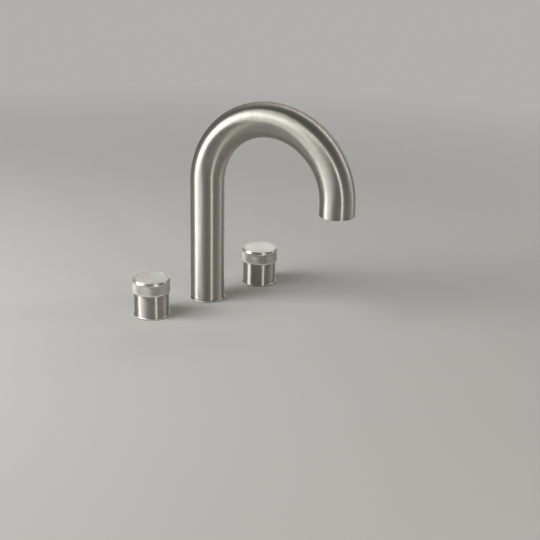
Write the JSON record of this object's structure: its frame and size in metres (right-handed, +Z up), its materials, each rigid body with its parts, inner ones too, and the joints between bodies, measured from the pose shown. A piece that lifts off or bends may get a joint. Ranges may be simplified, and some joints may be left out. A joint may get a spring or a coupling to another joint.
{
  "type": "kitchen tap",
  "caption": "Deck-mounted kitchen tap set in brushed steel: an arched swivel spout between a round touch control with lamps and a matching knurled mixer control.",
  "frame": {"origin": "on the deck plane, on the axis that the spout swivels about", "axes": "+Z up; the controls stand on the X axis, touch control on -X and mixer control on +X; -Y is straight ahead"},
  "size_m": [0.2148, 0.2004, 0.3314],
  "materials": {
    "brushed_steel": "satin, brushed round the tube",
    "knurled_steel": "fine knurl, polished bevel",
    "disc_steel": "satin",
    "polished_steel": "polished",
    "brass": "machined",
    "plated_brass": "satin nickel plated",
    "fastener_steel": "zinc plated",
    "bearing_plastic": "moulded",
    "cartridge_plastic": "moulded",
    "hose_plastic": "extruded",
    "rubber": "moulded",
    "ceramic": "ground",
    "magnet": "bonded",
    "board": "solder mask",
    "red_lens": "clear moulded",
    "green_lens": "clear moulded",
    "light": "moulded"
  },
  "bodies": {
    "deck_fixed": {"spout_base_ring": "polished_steel", "spout_deck_seal": "rubber", "spout_shank": "brass", "swivel_friction_ring": "rubber", "touch_base_ring": "polished_steel", "touch_deck_seal": "rubber", "touch_shank": "brass", "touch_sleeve": "brushed_steel", "touch_bearing": "bearing_plastic", "touch_carrier": "bearing_plastic", "carrier_screws": "fastener_steel", "sensor_board": "board", "board_clip": "bearing_plastic", "push_switch": "bearing_plastic", "lamp_lights": "light", "touch_spring": "fastener_steel", "cable_grommet": "rubber", "mixer_base_ring": "polished_steel", "mixer_deck_seal": "rubber", "mixer_valve_body": "brass", "mixer_sleeve": "brushed_steel", "mixer_bearing": "bearing_plastic", "cartridge_seal": "rubber", "fixed_ceramic_disc": "ceramic", "cartridge_housing": "cartridge_plastic", "gland_nut": "brass", "clamp_rubber_washers": "rubber", "clamp_steel_washers": "fastener_steel", "backnuts": "brass"},
    "spout": {"spout_tube": "brushed_steel", "spout_insert": "brass", "spout_set_screw": "fastener_steel", "lower_swivel_bearing": "bearing_plastic", "upper_swivel_bearing": "bearing_plastic", "outlet_block": "plated_brass", "aerator_housing": "polished_steel", "aerator_core": "bearing_plastic", "aerator_seal": "rubber", "mixed_water_hose": "hose_plastic", "boiling_water_hose": "hose_plastic", "mixed_hose_fitting": "brass", "boiling_hose_fitting": "brass"},
    "touch_dial": {"touch_ring": "knurled_steel", "dial_magnet_ring": "magnet", "touch_circlip": "fastener_steel"},
    "touch_button": {"touch_disc": "disc_steel", "red_lamp": "red_lens", "green_lamp": "green_lens", "touch_stop_screw": "fastener_steel"},
    "mixer_knob": {"mixer_ring": "knurled_steel", "mixer_hub": "brass", "hub_screw": "fastener_steel", "mixer_disc": "disc_steel", "mixer_circlip": "fastener_steel", "cartridge_stem": "fastener_steel", "stem_o_ring": "rubber", "moving_ceramic_disc": "ceramic"}
  },
  "joints": [
    {"name": "spout_swivel", "type": "hinge", "parent": "deck_fixed", "child": "spout", "pos_m": [0, 0, 0], "axis": [0, 0, 1], "range_deg": [-80, 40]},
    {"name": "dial_turn", "type": "hinge", "parent": "deck_fixed", "child": "touch_dial", "pos_m": [-0.083, 0, 0], "axis": [0, 0, 1], "continuous": true},
    {"name": "touch_press", "type": "slide", "parent": "deck_fixed", "child": "touch_button", "axis": [0, 0, -1], "range_m": [0, 0.0008], "stiffness_N_per_m": 1500, "springref_m": -0.001, "deforming": ["touch_spring"]},
    {"name": "mixer_turn", "type": "hinge", "parent": "deck_fixed", "child": "mixer_knob", "pos_m": [0.083, 0, 0], "axis": [0, 0, 1], "range_deg": [0, 200]}
  ]
}
